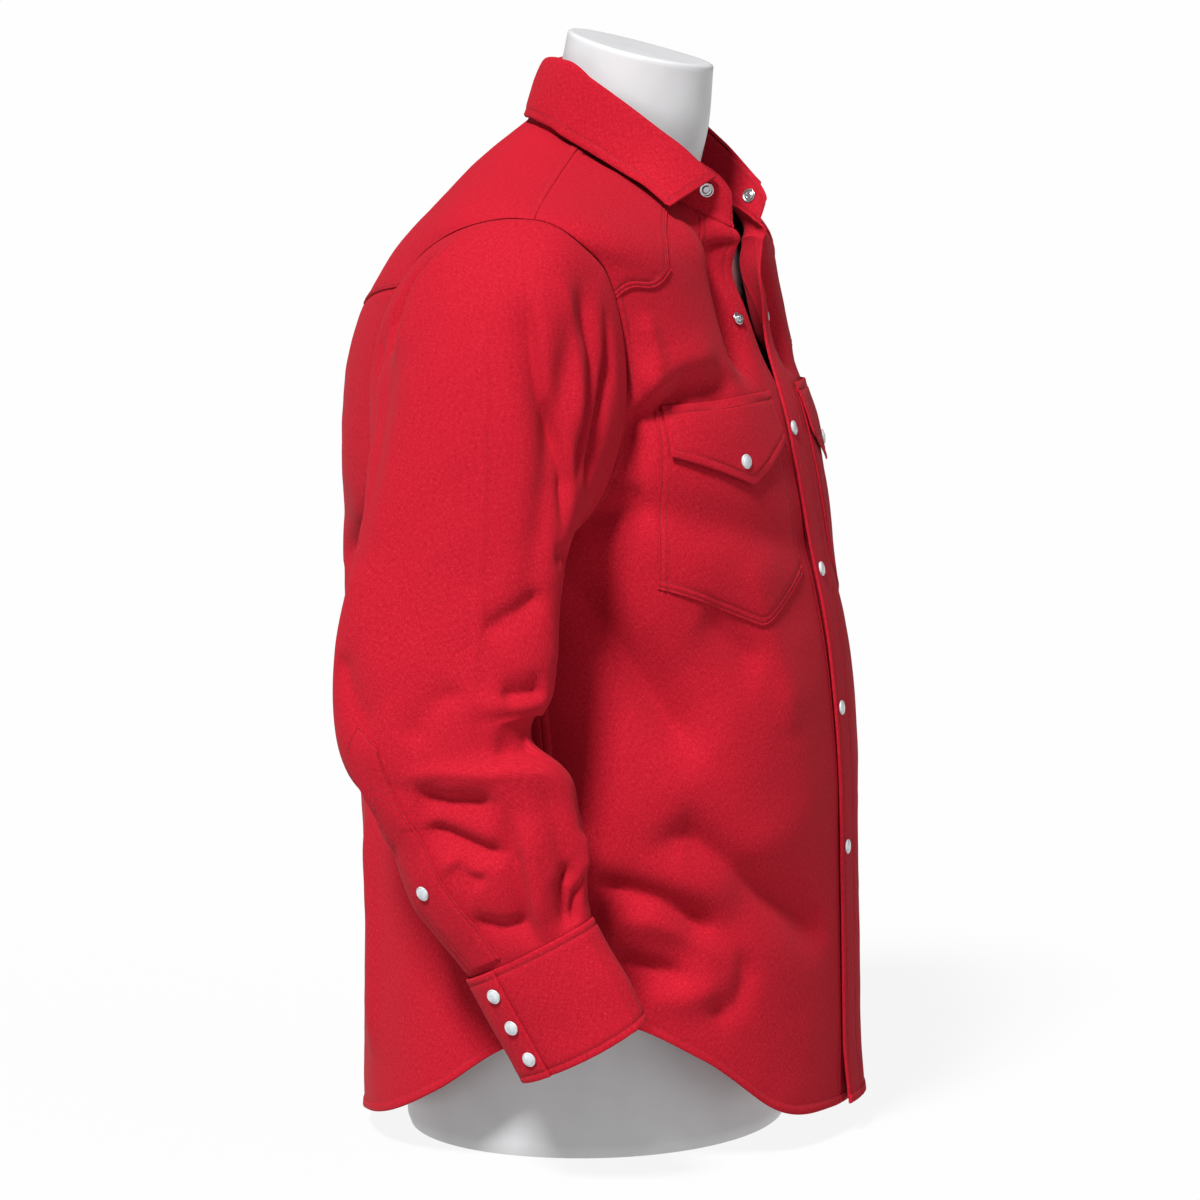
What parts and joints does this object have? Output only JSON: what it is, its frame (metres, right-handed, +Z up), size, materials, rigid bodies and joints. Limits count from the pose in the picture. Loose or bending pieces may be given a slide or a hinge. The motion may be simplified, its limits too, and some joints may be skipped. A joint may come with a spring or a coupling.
{
  "type": "flame-resistant work shirt on a limbless dress form",
  "caption": "Long-sleeved snap-front work shirt with western yokes and flap pockets, hanging open at the neck on a smooth limbless dress form.",
  "frame": {"origin": "on the floor, at the centre of the dress form's flat base", "axes": "+Z up, the shirt's front toward -Y, the wearer's left toward +X"},
  "size_m": [0.6492, 0.4186, 0.875],
  "materials": {
    "cloth": "fine red twill, slight sheen",
    "form_shell": "smooth white, semi-matte",
    "snap_pearl": "pale pearl with a thin rim",
    "snap_metal": "plain nickel"
  },
  "bodies": {
    "root": {"form": "form_shell", "front_right": "cloth", "placket_right": "cloth", "yoke_front_right": "cloth", "pocket_right": "cloth", "flap_right": "cloth", "sleeve_right": "cloth", "sleeve_placket_right": "cloth", "cuff_right": "cloth", "front_left": "cloth", "placket_left": "cloth", "yoke_front_left": "cloth", "pocket_left": "cloth", "flap_left": "cloth", "sleeve_left": "cloth", "sleeve_placket_left": "cloth", "cuff_left": "cloth", "back": "cloth", "yoke_back": "cloth", "collar_stand": "cloth", "collar_leaf": "cloth", "snap_front_1": "snap_pearl", "snap_front_2": "snap_pearl", "snap_front_3": "snap_pearl", "snap_front_4": "snap_pearl", "snap_front_5": "snap_pearl", "snap_collar": "snap_pearl", "snap_flap_right": "snap_pearl", "snap_sleeve_right": "snap_pearl", "snap_cuff_right_1": "snap_pearl", "snap_cuff_right_2": "snap_pearl", "snap_cuff_right_3": "snap_pearl", "snap_flap_left": "snap_pearl", "snap_sleeve_left": "snap_pearl", "snap_cuff_left_1": "snap_pearl", "snap_cuff_left_2": "snap_pearl", "snap_cuff_left_3": "snap_pearl", "stud_front": "snap_metal", "stud_collar": "snap_metal", "socket_collar": "snap_metal"}
  },
  "joints": []
}
